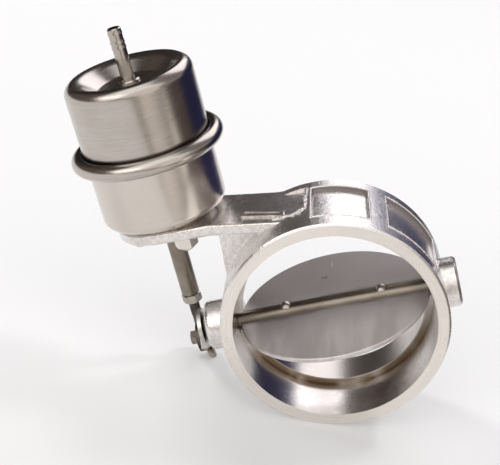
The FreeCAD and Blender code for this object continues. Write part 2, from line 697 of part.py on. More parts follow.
def lower_shell():
    """The lower half of the can, with a raised seat below and the rolled bead on top."""
    path = [(0, ARM_TOP, 0), (SEAT_R, ARM_TOP, 0)]
    path += [(SEAT_R + SEAT_SLOPE, CAN_BOTTOM, 0), (LOWER_R, CAN_BOTTOM, LOWER_CORNER)]
    path += [(LOWER_R, BEAD_BOTTOM, PRESS_CORNER), (BEAD_OUTER_R, BEAD_BOTTOM, BEAD_R - 0.01)]
    path += [(BEAD_OUTER_R, BEAD_TOP, BEAD_R - 0.01), (CURL_LIP_R, BEAD_TOP, CURL_CORNER)]
    path += [(CURL_LIP_R, FLANGE_TOP, 0)]
    shell = at_can(pressed_shell(path, SHELL_T))
    shell = shell.cut(rod_slot(ARM_TOP - 1, CAN_BOTTOM + 1))
    hole = Part.makeCylinder(STUD_D / 2 + RIVET_FIT, SHELL_T + 2, V(0, 0, ARM_TOP - 1))
    return shell.cut(at_studs(hole))


def upper_shell():
    """The upper half of the can: a flange, a wall, a rounded rim and a dished top."""
    turn = math.radians(RIM_TURN)
    rim_centre = UPPER_R - RIM_ROUND
    slope_top = CAN_TOP - RIM_ROUND * (1 - math.cos(turn))
    slope_r = rim_centre - RIM_ROUND * math.sin(turn)
    rim_edge_r = slope_r + (CAN_TOP - slope_top) / math.tan(turn)
    floor_r = slope_r - (slope_top - DISH_FLOOR) / math.tan(turn)
    path = [(NIPPLE_NECK_D / 2 + RIVET_FIT, DISH_FLOOR, 0), (floor_r, DISH_FLOOR, DISH_CORNER)]
    rim_inner = RIM_ROUND * math.sin(turn) / (1 + math.cos(turn)) * 6
    path += [(rim_edge_r, CAN_TOP, rim_inner), (UPPER_R, CAN_TOP, RIM_ROUND)]
    path += [(UPPER_R, FLANGE_TOP, 0), (FLANGE_R, FLANGE_TOP, 0)]
    return at_can(pressed_shell(path, -UPPER_T))


def vacuum_nipple():
    """The hose nipple: it stands on the collar with a shoulder, and a narrower neck runs down through the dish."""
    shoulder = DISH_FLOOR + COLLAR_H
    bottom = DISH_UNDERSIDE - NIPPLE_TAIL
    pipe = cylinder(NIPPLE_D / 2, shoulder, NIPPLE_TOP, Z_AXIS)
    pipe = pipe.makeChamfer(0.4, [e for e in pipe.Edges if e.BoundBox.ZMin > NIPPLE_TOP - 0.1])
    for drop in BARB_DROPS:
        narrow = NIPPLE_D / 2
        low = V(0, 0, NIPPLE_TOP - drop - BARB_LENGTH)
        pipe = pipe.fuse(Part.makeCone(narrow + BARB_PROUD, narrow, BARB_LENGTH, low))
    pipe = pipe.fuse(cylinder(NIPPLE_NECK_D / 2, bottom, shoulder, Z_AXIS))
    return at_can(pipe.cut(cylinder(NIPPLE_BORE_D / 2, bottom - 1, NIPPLE_TOP + 1, Z_AXIS)))


def nipple_collar():
    inner = NIPPLE_NECK_D / 2 + RIVET_FIT
    outer = COLLAR_D / 2
    top = DISH_FLOOR + COLLAR_H
    ring = [(inner, DISH_FLOOR, 0), (outer, DISH_FLOOR, 0), (outer, top - 0.5, 0), (outer - 0.5, top, 0)]
    return at_can(turned(ring + [(inner, top, 0)]))


def diaphragm():
    """A rolling rubber diaphragm: a thick clamped edge, one fold, and a face over the piston."""
    wall_r = LOWER_R - SHELL_T - RUBBER_GAP - RUBBER_T
    edge_r = FLANGE_R - RUBBER_EDGE_WIDTH
    edge = turned([(edge_r, RUBBER_EDGE_BOTTOM, 0), (FLANGE_R - 1.6, RUBBER_EDGE_BOTTOM, 0),
                   (FLANGE_R, RUBBER_EDGE_BOTTOM + 1, 0), (FLANGE_R, RUBBER_EDGE_TOP, 0),
                   (edge_r, RUBBER_EDGE_TOP, 0)])
    middle = (RUBBER_EDGE_BOTTOM + RUBBER_EDGE_TOP + RUBBER_T) / 2
    inner_r = CUP_R + RUBBER_T
    path = [(FLANGE_R - 1, middle, 0), (wall_r, middle, 0), (wall_r, ROLL_BOTTOM + ROLL_CORNER, 0)]
    path += [(wall_r - ROLL_CORNER, ROLL_BOTTOM, 0), (inner_r + ROLL_CORNER, ROLL_BOTTOM, 0)]
    path += [(inner_r, ROLL_BOTTOM + ROLL_CORNER, 0), (inner_r, RETAINER_BOTTOM, 0)]
    path += [(PISTON_RIVET_D / 2 + RIVET_FIT, RETAINER_BOTTOM, 0)]
    return at_can(pressed_shell(path, RUBBER_T).fuse(edge))


def piston_cup():
    path = [(PISTON_RIVET_D / 2 + RIVET_FIT, PISTON_TOP, 0), (CUP_R, PISTON_TOP, 0)]
    path += [(CUP_R, PISTON_TOP - CUP_SKIRT, 0)]
    return at_can(pressed_shell(path, -CUP_T))


def retainer_plate():
    path = [(PISTON_RIVET_D / 2 + RIVET_FIT, RETAINER_BOTTOM, 0), (RETAINER_R, RETAINER_BOTTOM, 0)]
    path += [(RETAINER_R, RETAINER_BOTTOM + RETAINER_RIM + RETAINER_T, 0)]
    return at_can(pressed_shell(path, RETAINER_T))


def piston_rivet():
    shank = cylinder(PISTON_RIVET_D / 2, CUP_UNDERSIDE - 0.5, RETAINER_TOP + 0.3, Z_AXIS)
    low = cylinder(PISTON_RIVET_HEAD_D / 2, CUP_UNDERSIDE - PISTON_RIVET_HEAD_H, CUP_UNDERSIDE, Z_AXIS)
    high = cylinder(PISTON_RIVET_HEAD_D / 2, RETAINER_TOP, RETAINER_TOP + PISTON_RIVET_HEAD_H, Z_AXIS)
    return at_can(shank.fuse(low).fuse(high))


def spring_seat():
    """The pressed cup under the dish that centres the top of the spring."""
    top = DISH_UNDERSIDE
    inside = SPRING_TOP_R * math.cos(math.pi / SPRING_STEPS) - SPRING_WIRE_D / 2 - SPRING_SEAT_PLAY
    path = [(NIPPLE_NECK_D / 2 + 0.3, top, 0), (inside, top, 0), (inside, top - SPRING_SEAT_LIP, 0)]
    return at_can(pressed_shell(path, -SPRING_SEAT_T))


def return_spring():
    """A conical spring made of straight lengths of wire, a few to each turn."""
    low = RETAINER_TOP + SPRING_WIRE_D / 2 + SEAT_GAP
    high = DISH_UNDERSIDE - SPRING_WIRE_D / 2 - SEAT_GAP
    count = SPRING_TURNS * SPRING_STEPS
    points = []
    for step in range(count + 1):
        share = step / count
        turn = 2 * math.pi * SPRING_TURNS * share
        radius = SPRING_BOTTOM_R + (SPRING_TOP_R - SPRING_BOTTOM_R) * share
        rise = low + (high - low) * share
        points.append(V(radius * math.cos(turn), radius * math.sin(turn), rise))
    wire = Part.makePolygon(points)
    way = (points[1] - points[0]).normalize()
    circle = Part.Wire(Part.makeCircle(SPRING_WIRE_D / 2, points[0], way))
    return at_can(wire.makePipeShell([circle], True, False, 1))


def mounting_studs():
    bottom = ARM_BOTTOM - STUD_WASHER_T - M5_NUT_H - STUD_TAIL
    stud = cylinder(STUD_D / 2, bottom, ARM_TOP + SHELL_T + 1, Z_AXIS)
    stud = stud.makeChamfer(0.6, [e for e in stud.Edges if e.BoundBox.ZMax < bottom + 0.1])
    head = cylinder(STUD_D / 2 + 1.2, ARM_TOP + SHELL_T, ARM_TOP + SHELL_T + 1, Z_AXIS)
    return at_studs(stud.fuse(head))


def stud_washers():
    return at_studs(tube(STUD_WASHER_D / 2, STUD_D / 2 + STUD_HOLE_GAP,
                         ARM_BOTTOM - STUD_WASHER_T, ARM_BOTTOM, Z_AXIS))


def stud_nuts():
    bottom = ARM_BOTTOM - STUD_WASHER_T - M5_NUT_H
    nut = hexagon(M5_FLATS, bottom, M5_NUT_H)
    return at_studs(nut.cut(cylinder(STUD_D / 2 + RIVET_FIT, bottom - 1, bottom + M5_NUT_H + 1, Z_AXIS)))


NODES = {
    "valve_body": valve_body,
    "left_bush": left_bush,
    "right_bush": right_bush,
    "shaft_seal": shaft_seal,
    "spring_washer": spring_washer,
    "shaft": shaft,
    "flap_disc": flap_disc,
    "flap_rivets": flap_rivets,
    "lever": lever,
    "pivot_bolt": pivot_bolt,
    "pivot_washer": pivot_washer,
    "pivot_nut": pivot_nut,
    "rod_end": rod_end,
    "lock_nut": lock_nut,
    "actuator_rod": actuator_rod,
    "lower_shell": lower_shell,
    "upper_shell": upper_shell,
    "vacuum_nipple": vacuum_nipple,
    "nipple_collar": nipple_collar,
    "diaphragm": diaphragm,
    "piston_cup": piston_cup,
    "retainer_plate": retainer_plate,
    "piston_rivet": piston_rivet,
    "spring_seat": spring_seat,
    "return_spring": return_spring,
    "mounting_studs": mounting_studs,
    "stud_washers": stud_washers,
    "stud_nuts": stud_nuts,
}

os.makedirs("parts", exist_ok=True)
for name, make in NODES.items():
    shape = make()
    print(name, "solids", len(shape.Solids), "valid", shape.isValid(), "volume", round(shape.Volume, 1))
    shape.exportStep("parts/" + name + ".step")
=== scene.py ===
# %% [markdown]
# # Dressing an exhaust flap valve
# The valve is a cast steel ring with a flap in it. A pressed can stands on a cast arm and turns the
# flap with a rod and a lever. The solids already have their real sizes. This file gives them the
# finishes, the small detail, the light and the camera.

# %% Start
import bpy
import json
import math
from mathutils import Euler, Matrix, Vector


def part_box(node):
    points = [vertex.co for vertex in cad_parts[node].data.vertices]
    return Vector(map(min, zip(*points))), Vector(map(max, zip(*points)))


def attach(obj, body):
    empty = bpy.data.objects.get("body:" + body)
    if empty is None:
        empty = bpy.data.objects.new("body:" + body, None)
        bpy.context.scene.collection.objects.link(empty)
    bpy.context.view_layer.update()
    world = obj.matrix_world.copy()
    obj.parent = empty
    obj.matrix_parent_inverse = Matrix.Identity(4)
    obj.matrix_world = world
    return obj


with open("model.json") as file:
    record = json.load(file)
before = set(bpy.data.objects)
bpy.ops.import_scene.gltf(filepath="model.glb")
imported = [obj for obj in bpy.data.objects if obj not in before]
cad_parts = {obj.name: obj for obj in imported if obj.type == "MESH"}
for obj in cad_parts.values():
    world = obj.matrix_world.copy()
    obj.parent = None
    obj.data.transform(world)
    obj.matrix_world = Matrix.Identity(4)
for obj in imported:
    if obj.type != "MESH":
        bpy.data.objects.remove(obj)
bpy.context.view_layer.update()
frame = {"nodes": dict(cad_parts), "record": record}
nodes = frame["nodes"]
bpy.ops.object.select_all(action="DESELECT")

# %% [markdown]
# The camera stands in front of the ring and above it. A long lens keeps the ring nearly round, and
# the camera is rolled a little, as it is in the photo.

# %% Camera
CAMERA_PLACE = (0.0413, -0.4023, 0.21777)
CAMERA_TURN = (65.259, 13.448, 3.235)
LENS = 85.156
SENSOR_WIDTH = 36

camera_data = bpy.data.cameras.new("camera")
camera_data.lens = LENS
camera_data.sensor_width = SENSOR_WIDTH
camera = bpy.data.objects.new("camera", camera_data)
camera.location = CAMERA_PLACE
camera.rotation_euler = Euler([math.radians(a) for a in CAMERA_TURN], "XYZ")
bpy.context.collection.objects.link(camera)
bpy.context.scene.camera = camera
print("camera at", CAMERA_PLACE, "lens", LENS)

# %% [markdown]
# Material maths reads best as plain sums. This small class holds one socket of a material, and
# each sum on it adds a Math node, so a mask can be written as `1 - rust * 0.5`. It could also be
# wired by hand in the node editor, but a sum in one line is easier to change.

# %% A socket that can be added and multiplied
class Wire:
    def __init__(self, board, socket):
        self.board = board
        self.socket = socket

    def sum(self, operation, other):
        return self.board.node("ShaderNodeMath", {"operation": operation}, [self, other])

    def __add__(self, other):
        return self.sum("ADD", other)

    def __radd__(self, other):
        return self.sum("ADD", other)

    def __sub__(self, other):
        return self.sum("SUBTRACT", other)

    def __rsub__(self, other):
        return self.board.node("ShaderNodeMath", {"operation": "SUBTRACT"}, [other, self])

    def __mul__(self, other):
        return self.sum("MULTIPLY", other)

    def __rmul__(self, other):
        return self.sum("MULTIPLY", other)

    def __pow__(self, other):
        return self.sum("POWER", other)

    def __abs__(self):
        return self.board.node("ShaderNodeMath", {"operation": "ABSOLUTE"}, [self])

    def above(self, low, high):
        """0 below low, 1 above high, smooth between them."""
        inputs = {"Value": self, "From Min": low, "From Max": high}
        return self.board.node("ShaderNodeMapRange", {"interpolation_type": "SMOOTHSTEP"}, inputs)

    def below(self, low, high):
        return 1 - self.above(low, high)


print("sums ready")

# %% [markdown]
# A board is the node tree of a material or of the world. Its node method adds any node: first the
# settings, then the values or links of its sockets. The other methods only name common nodes.

# %% A board for nodes
class Board:
    def __init__(self, owner):
        owner.use_nodes = True
        self.tree = owner.node_tree
        self.tree.nodes.clear()

    def node(self, kind, settings=None, inputs=None, output=0):
        made = self.tree.nodes.new(kind)
        for name, value in (settings or {}).items():
            setattr(made, name, value)
        pairs = inputs.items() if isinstance(inputs, dict) else enumerate(inputs or [])
        for name, value in pairs:
            if isinstance(value, Wire):
                self.tree.links.new(value.socket, made.inputs[name])
            else:
                made.inputs[name].default_value = value
        return Wire(self, made.outputs[output]) if made.outputs else None

    def mix(self, first, second, amount):
        """Colours first and second, or links to them, mixed by amount."""
        solid = [c if isinstance(c, Wire) else (*c, 1) for c in (first, second)]
        inputs = {0: amount, 6: solid[0], 7: solid[1]}
        return self.node("ShaderNodeMix", {"data_type": "RGBA"}, inputs, output=2)

    def place(self):
        return self.node("ShaderNodeTexCoord", output=3)

    def split(self, vector):
        parts = self.node("ShaderNodeSeparateXYZ", None, [vector])
        outputs = parts.socket.node.outputs
        return [Wire(self, outputs[i]) for i in range(3)]

    def join(self, x, y, z):
        return self.node("ShaderNodeCombineXYZ", None, [x, y, z])

    def noise(self, vector, scale, detail=3.0, roughness=0.55):
        inputs = {"Vector": vector, "Scale": scale, "Detail": detail, "Roughness": roughness}
        return self.node("ShaderNodeTexNoise", None, inputs)


print("board ready")

# %% [markdown]
# Each solid of this valve is one metal all over, or rubber, so each finish is one Principled shader.
# What never changes, such as how metallic it is, is set on the shader. A paint function adds the
# colour, the roughness and the bump, which change over the surface.

# %% A new metal
SHADER_SOCKETS = {"colour": "Base Color", "roughness": "Roughness"}


def metal(name, paint, metallic=1.0):
    """A new metal. paint(board, shader) adds what changes over its surface."""
    material = bpy.data.materials.new(name)
    board = Board(material)
    surface = board.node("ShaderNodeBsdfPrincipled", None, {"Metallic": metallic})
    board.node("ShaderNodeOutputMaterial", None, {"Surface": surface})
    paint(board, surface.socket.node)
    print(name, "nodes", len(board.tree.nodes))
    return material


def feed(board, shader, height=None, **wires):
    """Link wires to the shader's sockets: colour, roughness and bump height in metres."""
    for name, wire in wires.items():
        board.tree.links.new(wire.socket, shader.inputs[SHADER_SOCKETS[name]])
    if height is not None:
        bump = board.node("ShaderNodeBump", None, {"Height": height, "Distance": 1.0})
        board.tree.links.new(bump.socket, shader.inputs["Normal"])


print("a metal is fed through", list(SHADER_SOCKETS.values()), "and Normal")

# %% [markdown]
# The ring and arm are one casting. It was tumbled, so its skin is bright but slightly dimpled. Its
# bore was turned smooth and its front face ground. Each of these could have a material of its own,
# but the casting is one piece, so masks split it: the bore by its distance from the pipe's axis,
# and the face by its depth.

# %% Zones of the casting
EDGE = 0.0002
BORE_REACH = 0.0384
FRONT_SKIN = -0.0198


def round_pipe(board):
    """The place, its x, y and z, and its distance from the pipe's axis."""
    place = board.place()
    x, y, z = board.split(place)
    return place, x, y, z, (x * x + z * z) ** 0.5


def cast_zones(board):
    """Masks of the turned bore, the ground front face and the bare skin."""
    place, x, y, z, reach = round_pipe(board)
    turned = reach.below(BORE_REACH, BORE_REACH + EDGE)
    ground = y.below(FRONT_SKIN - EDGE / 2, FRONT_SKIN)
    return turned, ground, (1 - turned) * (1 - ground)


print("bore reaches", BORE_REACH, "front skin at", FRONT_SKIN)

# %% [markdown]
# Brown dirt has settled in the corner of the step, in the lower half of the bore, with thinner
# smudges in front of it. A dark line of painted shade runs along the rear wall of the upper pockets.
# Each pair of numbers is where a mask starts to change and where it has changed fully, in metres.

# %% Dirt and painted shade on the casting
STAIN = (0.20, 0.14, 0.08)
STEP_REACH = (0.0354, 0.0362)
STEP_FRONT = (-0.0005, 0.001)
STEP_BACK = (0.0035, 0.006)
LOWER_HALF = (-0.022, -0.008)
POCKET_SHADE_TONE = (0.24, 0.22, 0.23)
POCKET_FLOOR = (0.0413, 0.0415)
POCKET_TOP = (0.0428, 0.0430)
POCKET_WALL = (0.0141, 0.0143)
POCKET_BACK = (0.0146, 0.0148)
UPPER_HALF = (0.0, 0.01)
SMUDGE = (0.36, 0.29, 0.21)
SMUDGE_DEPTH = (0.000, 0.002)
SMUDGE_SIDE = (-0.01, 0.015)


def cast_dirt_and_shade(board, tone, turned, cloud):
    """The tone with a stain in the step, a line of painted shade in the pockets and smudges in the
    bore.
    """
    place, x, y, z, reach = round_pipe(board)
    low = z.below(*LOWER_HALF)
    corner = reach.above(*STEP_REACH) * turned * y.above(*STEP_FRONT) * y.below(*STEP_BACK)
    tone = board.mix(tone, STAIN, corner * low * cloud.above(0.3, 0.55) * 0.85)
    # painted shade: a dark line along the rear wall of the upper pockets
    pocket_shade_line = reach.above(*POCKET_FLOOR) * reach.below(*POCKET_TOP) * y.above(*POCKET_WALL)
    tone = board.mix(tone, POCKET_SHADE_TONE, pocket_shade_line * y.below(*POCKET_BACK) * z.above(*UPPER_HALF))
    smudge = board.noise(place, 130, 4, 0.7).above(0.50, 0.62) * turned * y.below(*SMUDGE_DEPTH)
    return board.mix(tone, SMUDGE, smudge * low * x.above(*SMUDGE_SIDE) * 0.6)


print("stain from", STEP_FRONT[0], "to", STEP_BACK[1])

# %% [markdown]
# Worn high spots are brighter than the hollows between them, so the tone follows the same dimples
# as the bump. The ground face has fine rings, which are noise that is packed along the distance
# from the axis. The right half of the bore is duller than the left one.

# %% Cast steel
CAST_TONES = ((0.66, 0.625, 0.605), (0.84, 0.81, 0.785))
RING_TONE = (0.93, 0.90, 0.875)
TURNED_TONE = (0.50, 0.46, 0.425)
GROUND_TONE = (0.88, 0.825, 0.765)
GROUND_RINGS = (0.60, 0.55, 0.50)
RING_LINES = 9000
RING_OUTSIDE = (0.0434, 0.0437)
DULL_SIDE = (-0.014, 0.006)


def paint_cast(board, shader):
    place, x, y, z, reach = round_pipe(board)
    turned, ground, skin = cast_zones(board)
    grain = board.noise(place, 1500, 2)
    dimples = board.noise(place, 620, 2)
    cloud = board.noise(place, 60, 3)
    rings = board.noise(board.join(reach * RING_LINES, 0.0, z * 60), 1, 2)
    worn = dimples.above(0.40, 0.62)
    outside = skin * reach.below(*RING_OUTSIDE)
    dull = turned * x.above(*DULL_SIDE)
    tone = board.mix(*CAST_TONES, cloud.above(0.3, 0.7) * 0.4 + worn * 0.6)
    tone = board.mix(tone, RING_TONE, outside * (0.25 + grain.above(0.45, 0.6) * 0.5))
    tone = board.mix(tone, TURNED_TONE, turned * cloud.above(0.2, 0.6))
    tone = board.mix(tone, GROUND_TONE, ground * 0.85)
    tone = board.mix(tone, GROUND_RINGS, ground * rings.above(0.45, 0.75) * 0.6)
    tone = cast_dirt_and_shade(board, tone, turned, cloud)
    rough = 0.16 + skin * 0.06 + dull * 0.11 + ground * 0.09
    rough = rough + cloud.above(0.4, 0.7) * 0.04 + grain * 0.06
    coarse = dimples * (skin * 0.00007 + 0.000010)
    fine = grain * (skin * 0.00006 + dull * 0.00002 + 0.000006)
    feed(board, shader, colour=tone, roughness=rough, height=coarse + fine)


cast_steel = metal("cast_steel", paint_cast, 0.95)

# %% [markdown]
# The can is pressed from sheet and brushed as it turned, so its fine lines run round it. A noise
# that is stretched along the angle and packed along the height gives such lines. It needs the angle
# and the distance from the can's own axis, which doesn't pass through the origin.

# %% Coordinates round the can
CAN_LOW, CAN_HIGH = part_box("upper_shell")
CAN_X = (CAN_LOW[0] + CAN_HIGH[0]) / 2
CAN_Y = (CAN_LOW[1] + CAN_HIGH[1]) / 2


def round_can(board):
    """Coordinates round the can: angle, height and distance from the axis."""
    x, y, z = board.split(board.place())
    side = x - CAN_X
    back = y - CAN_Y
    angle = board.node("ShaderNodeMath", {"operation": "ARCTAN2"}, [back, side])
    reach = (side * side + back * back) ** 0.5
    return angle, z, reach


print("can axis at", round(CAN_X, 5), round(CAN_Y, 5))

# %% [markdown]
# The lower half is a little brighter than the upper one, and painted shade darkens the crease above
# the bead. The nipple is in the same metal but plain, so everything near the axis is left unbrushed.

# %% Brushed can
CAN_DARK = (0.38, 0.345, 0.31)
CAN_LIGHT = (0.62, 0.575, 0.53)
LOWER_CAN = (0.74, 0.68, 0.62)
CAN_MARKS = (0.26, 0.23, 0.20)
CREASE_SHADE = (0.10, 0.08, 0.07)
NIPPLE_TONE = (0.46, 0.42, 0.38)
LOWER_TOP = (0.0685, 0.0690)
CREASE_BOTTOM = (0.0700, 0.0715)
CREASE_TOP = (0.0748, 0.0762)
CREASE_REACH = (0.0268, 0.0280)
NIPPLE_REACH = (0.0044, 0.0046)
LINES_PER_METRE = 900


def paint_can(board, shader):
    angle, height, reach = round_can(board)
    across = height * LINES_PER_METRE
    lines = board.noise(board.join(angle * 0.9, across, reach * LINES_PER_METRE), 3, 4, 0.6)
    cloud = board.noise(board.join(angle * 1.5, height * 60, reach * 60), 1.5, 3)
    marks = board.noise(board.join(angle * 6, across, reach * 40), 2.2, 4, 0.7)
    slim = reach.below(*NIPPLE_REACH)
    tone = board.mix(CAN_DARK, CAN_LIGHT, cloud.above(0.2, 0.8) * 0.25 + lines * 0.75)
    tone = board.mix(tone, LOWER_CAN, height.below(*LOWER_TOP) * 0.6)
    tone = board.mix(tone, CAN_MARKS, marks.above(0.66, 0.72) * 0.35)
    crease = height.above(*CREASE_BOTTOM) * height.below(*CREASE_TOP) * reach.below(*CREASE_REACH)
    # painted shade in the crease above the bead
    tone = board.mix(tone, CREASE_SHADE, crease * 0.85)
    tone = board.mix(tone, NIPPLE_TONE, slim)
    rough = 0.16 + lines * 0.13 * (1 - slim) + marks.above(0.6, 0.75) * 0.06 * (1 - slim)
    feed(board, shader, colour=tone, roughness=rough, height=lines * (1 - slim) * 0.00001)


can_steel = metal("can_steel", paint_can)

# %% [markdown]
# The flap is rolled sheet, duller than the casting. Its front half is brighter and streaked, a
# painted reflection, and its rear half is darker with painted shade. A band beside the shaft is
# darker, partly grime and partly the shaft's painted shadow, and one spot and one scratch stand
# where the real ones do. A mask from the sheet's own coordinates puts each in its place without a
# picture.

# %% Flap sheet
DISC_DARK = (0.42, 0.38, 0.37)
DISC_LIGHT = (0.56, 0.52, 0.51)
SPOT_TONE = (0.10, 0.085, 0.08)
SPOT = (-0.0033, 0.0192)
BAND_TONE = (0.24, 0.21, 0.20)
BAND_HALF = (0.0035, 0.0065)
REAR_SHADE = (0.34, 0.31, 0.30)
REAR_HALF = (0.002, 0.012)
FRONT_REFLECTION = (0.84, 0.79, 0.765)
FRONT_HALF = (-0.024, -0.004)
SCRATCH_TONE = (0.80, 0.76, 0.73)
SCRATCH_X = -0.0002
SCRATCH_Y = (0.0268, 0.0302)


def paint_disc(board, shader):
    place = board.place()
    x, y, z = board.split(place)
    cloud = board.noise(place, 35, 4)
    fine = board.noise(place, 700, 2)
    tone = board.mix(DISC_DARK, DISC_LIGHT, cloud.above(0.35, 0.65) * 0.6 + fine * 0.4)
    far = ((x - SPOT[0]) ** 2 + (y - SPOT[1]) ** 2) ** 0.5 + (fine - 0.5) * 0.004
    tone = board.mix(tone, SPOT_TONE, far.below(0.0004, 0.0013) * 0.8)
    beside = abs(y) + (cloud - 0.5) * 0.012
    # a darker band beside the shaft, partly grime and partly the shaft's painted shadow
    tone = board.mix(tone, BAND_TONE, beside.below(*BAND_HALF) * 0.7)
    # painted shade on the rear half
    tone = board.mix(tone, REAR_SHADE, y.above(*REAR_HALF) * 0.45)
    # painted reflection: brighter streaks on the front half
    streaks = board.noise(board.join(x * 110, y * 20, z), 1, 3)
    reflection_share = 0.25 + streaks.above(0.42, 0.66) * 0.4
    tone = board.mix(tone, FRONT_REFLECTION, y.below(*FRONT_HALF) * reflection_share)
    first, last = SCRATCH_Y
    along = y.above(first - EDGE, first) * y.below(last, last + EDGE)
    across = abs(x - SCRATCH_X)
    tone = board.mix(tone, SCRATCH_TONE, along * across.below(0.0001, 0.00022))
    feed(board, shader, colour=tone, roughness=0.34 + fine * 0.1, height=fine * 0.00002)


disc_steel = metal("disc_steel", paint_disc, 0.55)

# %% [markdown]
# The shaft and the rod are turned bar, slightly tanned. The small parts are plated. The nuts under
# the arm are brighter than the rest and the pivot is darker, so one mask lightens what is high up
# and another one darkens what is far out on the lever's side. That keeps them one finish.

# %% Turned bar and plated fasteners
BAR_TONES = ((0.20, 0.168, 0.135), (0.33, 0.29, 0.24))
PLATED_TONES = ((0.36, 0.31, 0.26), (0.56, 0.51, 0.46))
NUT_BRIGHT = (0.84, 0.79, 0.74)
NUT_HEIGHT = (0.02, 0.025)
PIVOT_TONE = (0.20, 0.17, 0.145)
PIVOT_SIDE = (-0.0612, -0.0606)
PIVOT_HEIGHT = (0.0, 0.01)


def paint_bar(board, shader):
    cloud = board.noise(board.place(), 60, 3)
    tone = board.mix(*BAR_TONES, cloud.above(0.3, 0.7))
    feed(board, shader, colour=tone, roughness=0.28 + cloud * 0.1)


def paint_plated(board, shader):
    place = board.place()
    x, y, z = board.split(place)
    cloud = board.noise(place, 150, 3)
    tone = board.mix(*PLATED_TONES, cloud.above(0.3, 0.7))
    tone = board.mix(tone, NUT_BRIGHT, z.above(*NUT_HEIGHT) * 0.8)
    tone = board.mix(tone, PIVOT_TONE, x.below(*PIVOT_SIDE) * z.below(*PIVOT_HEIGHT) * 0.65)
    feed(board, shader, colour=tone, roughness=0.25 + cloud * 0.12)


shaft_steel = metal("shaft_steel", paint_bar)
plated_steel = metal("plated_steel", paint_plated)

# %% [markdown]
# The rod end is oiled and nearly black, and the lever is plated, with painted shade on the tab at
# its foot. The diaphragm is rubber. Two tones and a noise between them are enough for each.

# %% Dark steel, lever and rubber
DARK_TONES = ((0.06, 0.055, 0.05), (0.16, 0.14, 0.125))
LEVER_TONES = ((0.50, 0.47, 0.44), (0.70, 0.67, 0.63))
TAB_SHADE = (0.13, 0.10, 0.08)
TAB_TOP = (-0.0195, -0.0165)
RUBBER_TONES = ((0.03, 0.03, 0.03), (0.05, 0.05, 0.05))


def paint_dark(board, shader):
    cloud = board.noise(board.place(), 200, 3)
    tone = board.mix(*DARK_TONES, cloud.above(0.3, 0.7))
    feed(board, shader, colour=tone, roughness=0.4 + cloud * 0.15)


def paint_lever(board, shader):
    place = board.place()
    x, y, z = board.split(place)
    cloud = board.noise(place, 120, 3)
    tone = board.mix(*LEVER_TONES, cloud.above(0.3, 0.7))
    # painted shade on the tab at the lever's foot
    tone = board.mix(tone, TAB_SHADE, z.below(*TAB_TOP) * 0.9)
    feed(board, shader, colour=tone, roughness=0.26 + cloud * 0.1)


def paint_rubber(board, shader):
    cloud = board.noise(board.place(), 200, 3)
    feed(board, shader, colour=board.mix(*RUBBER_TONES, cloud), roughness=0.7 + cloud * 0.1)


print("lever tab below", TAB_TOP[1])

# %% [markdown]
# The record names a finish for each solid. A table from that name to the material is all that is
# needed to hand them out.

# %% Finishes on the solids
finishes = {
    "cast_steel": cast_steel,
    "can_steel": can_steel,
    "disc_steel": disc_steel,
    "shaft_steel": shaft_steel,
    "plated_steel": plated_steel,
    "dark_steel": metal("dark_steel", paint_dark),
    "lever_steel": metal("lever_steel", paint_lever),
    "spring_steel": metal("spring_steel", paint_dark),
    "graphite": metal("graphite", paint_dark, 0.0),
    "rubber": metal("rubber", paint_rubber, 0.0),
}
for part in frame["record"]["subparts"]:
    item = nodes[part["node"]]
    item.data.materials.clear()
    item.data.materials.append(finishes[part["material_slot"]])
print("finishes", len(finishes))

# %% [markdown]
# New pieces start as primitives. These helpers clear the selection, put a piece's place into its
# mesh, and join what was made. An operator acts on all that is selected, so each one clears first.

# %% Helpers for new pieces
def clear():
    bpy.ops.object.select_all(action="DESELECT")


def settle(piece, name):
    """Put a made piece's place into its mesh and shade it smooth."""
    clear()
    piece.select_set(True)
    bpy.context.view_layer.objects.active = piece
    bpy.ops.object.transform_apply(location=True, rotation=True, scale=True)
    piece.name = name
    bpy.ops.object.shade_smooth()
    return piece


def join(pieces, name):
    clear()
    for piece in pieces:
        piece.select_set(True)
    bpy.context.view_layer.objects.active = pieces[0]
    bpy.ops.object.join()
    return settle(bpy.context.object, name)


print("selected", len(bpy.context.selected_objects))

# %% [markdown]
# A bead on a casting has no sharp line. It could be one bevelled curve, but where two of them meet
# they would only cross. So straight rods with a ball at the end are laid out first, and then all of
# them are fused to one skin, which is pushed in and out a little.

# %% Cast beads
ROD_SIDES = 12
BALL_RINGS = 8


def rod_between(start, end, radius):
    """A straight rod with a ball at its end, the start of a cast bead."""
    start = Vector(start)
    end = Vector(end)
    turn = (end - start).to_track_quat("Z", "Y").to_euler()
    clear()
    bpy.ops.mesh.primitive_cylinder_add(vertices=ROD_SIDES, radius=radius, depth=(end - start).length,
                                        location=(start + end) / 2, rotation=turn)
    rod = bpy.context.object
    bpy.ops.mesh.primitive_uv_sphere_add(segments=ROD_SIDES, ring_count=BALL_RINGS, radius=radius,
                                         location=end)
    return [rod, bpy.context.object]


def fuse(piece, cell, lumps, spread):
    """One skin of cells of one size, with soft lumps pushed into it."""
    remesh = piece.modifiers.new("skin", "REMESH")
    remesh.mode = "VOXEL"
    remesh.voxel_size = cell
    bpy.ops.object.modifier_apply(modifier="skin")
    texture = bpy.data.textures.new("lumps", "CLOUDS")
    texture.noise_scale = spread
    push = piece.modifiers.new("lumps", "DISPLACE")
    push.texture = texture
    push.texture_coords = "LOCAL"
    push.strength = lumps
    bpy.ops.object.modifier_apply(modifier="lumps")
    bpy.ops.object.shade_smooth()
    print(piece.name, "faces", len(piece.data.polygons))
    return piece


print("rods have", ROD_SIDES, "sides")

# %% [markdown]
# Each shallow pocket on the ring has a raised rim, where the wax of the mould crept up. The two
# long sides follow the ring, so they are parts of a thin torus, cut by two planes. The short sides
# are straight rods. All of a rim is fused to one skin.

